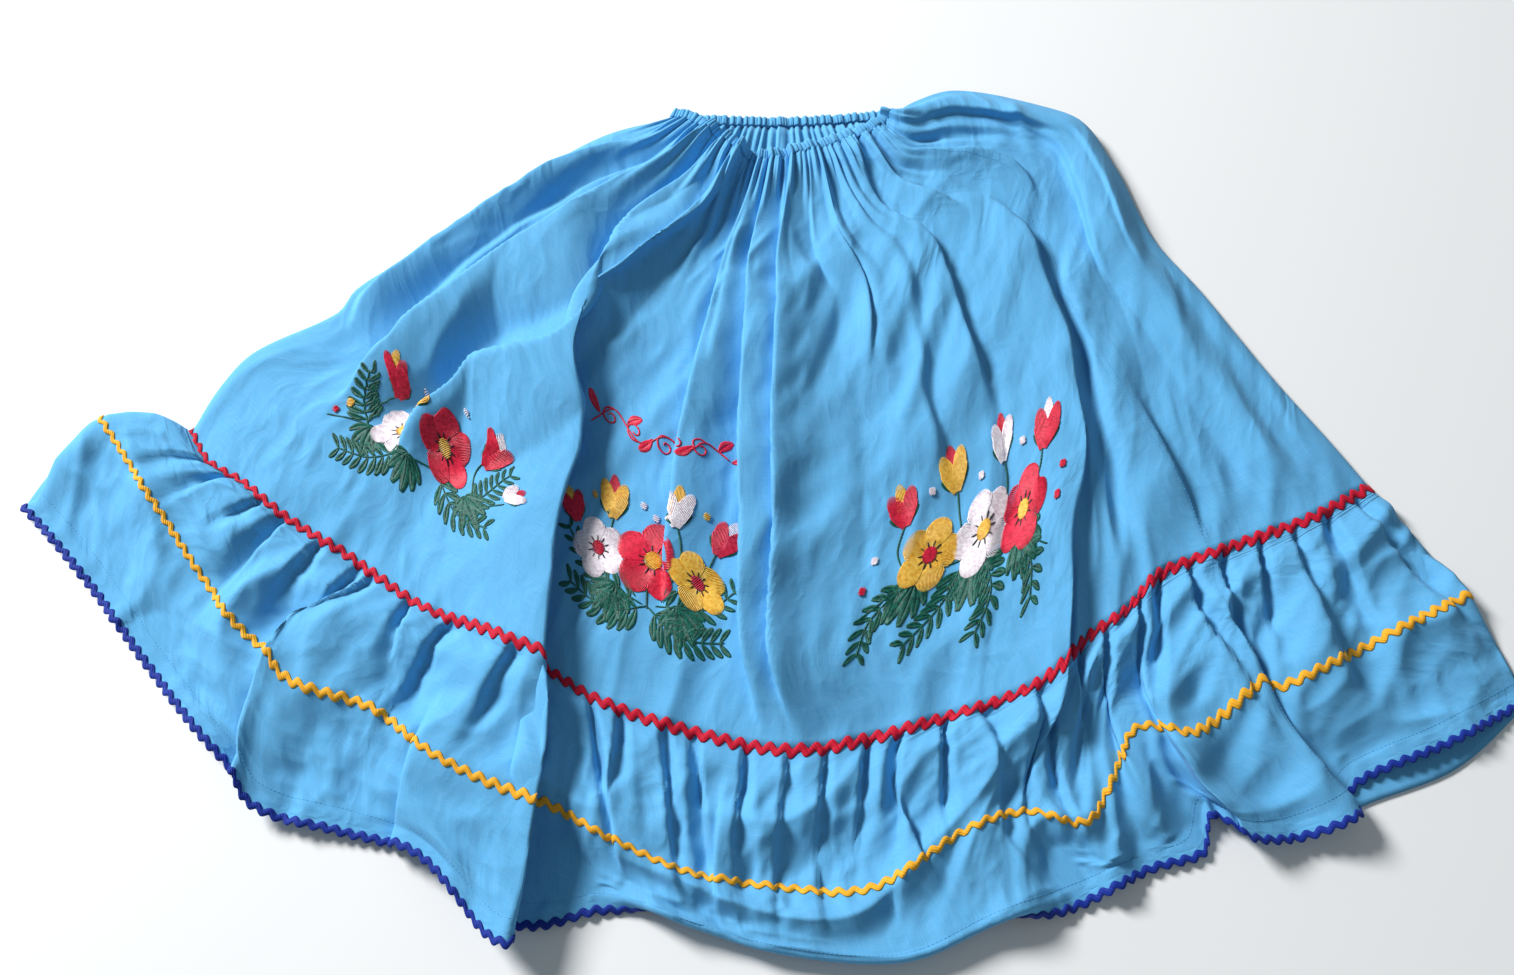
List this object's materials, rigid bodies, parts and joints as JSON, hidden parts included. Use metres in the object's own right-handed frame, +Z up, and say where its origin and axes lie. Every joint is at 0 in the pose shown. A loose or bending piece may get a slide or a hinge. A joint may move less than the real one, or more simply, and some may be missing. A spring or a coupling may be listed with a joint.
{
  "type": "circle skirt",
  "caption": "Tiered skirt laid flat: flared body tier and gathered ruffle in blue cotton, gathered elastic waist, embroidered front, wavy braid on the seam, ruffle and hem.",
  "frame": {"origin": "centre of the laid-out skirt's box, on the surface that it lies on", "axes": "+X to the right of the front face as it lies, +Y from the hem to the waist, +Z up from the surface, front face up"},
  "size_m": [1.132, 0.7468, 0.035],
  "materials": {
    "cotton": "matt plain-weave cotton",
    "red_braid": "matt woven braid",
    "yellow_braid": "matt woven braid",
    "blue_braid": "matt woven braid"
  },
  "bodies": {
    "root": {"front_casing": "cotton", "back_casing": "cotton", "front_body": "cotton", "back_body": "cotton", "front_ruffle": "cotton", "back_ruffle": "cotton", "seam_braid_red": "red_braid", "middle_braid_yellow": "yellow_braid", "hem_braid_blue": "blue_braid"}
  },
  "joints": []
}
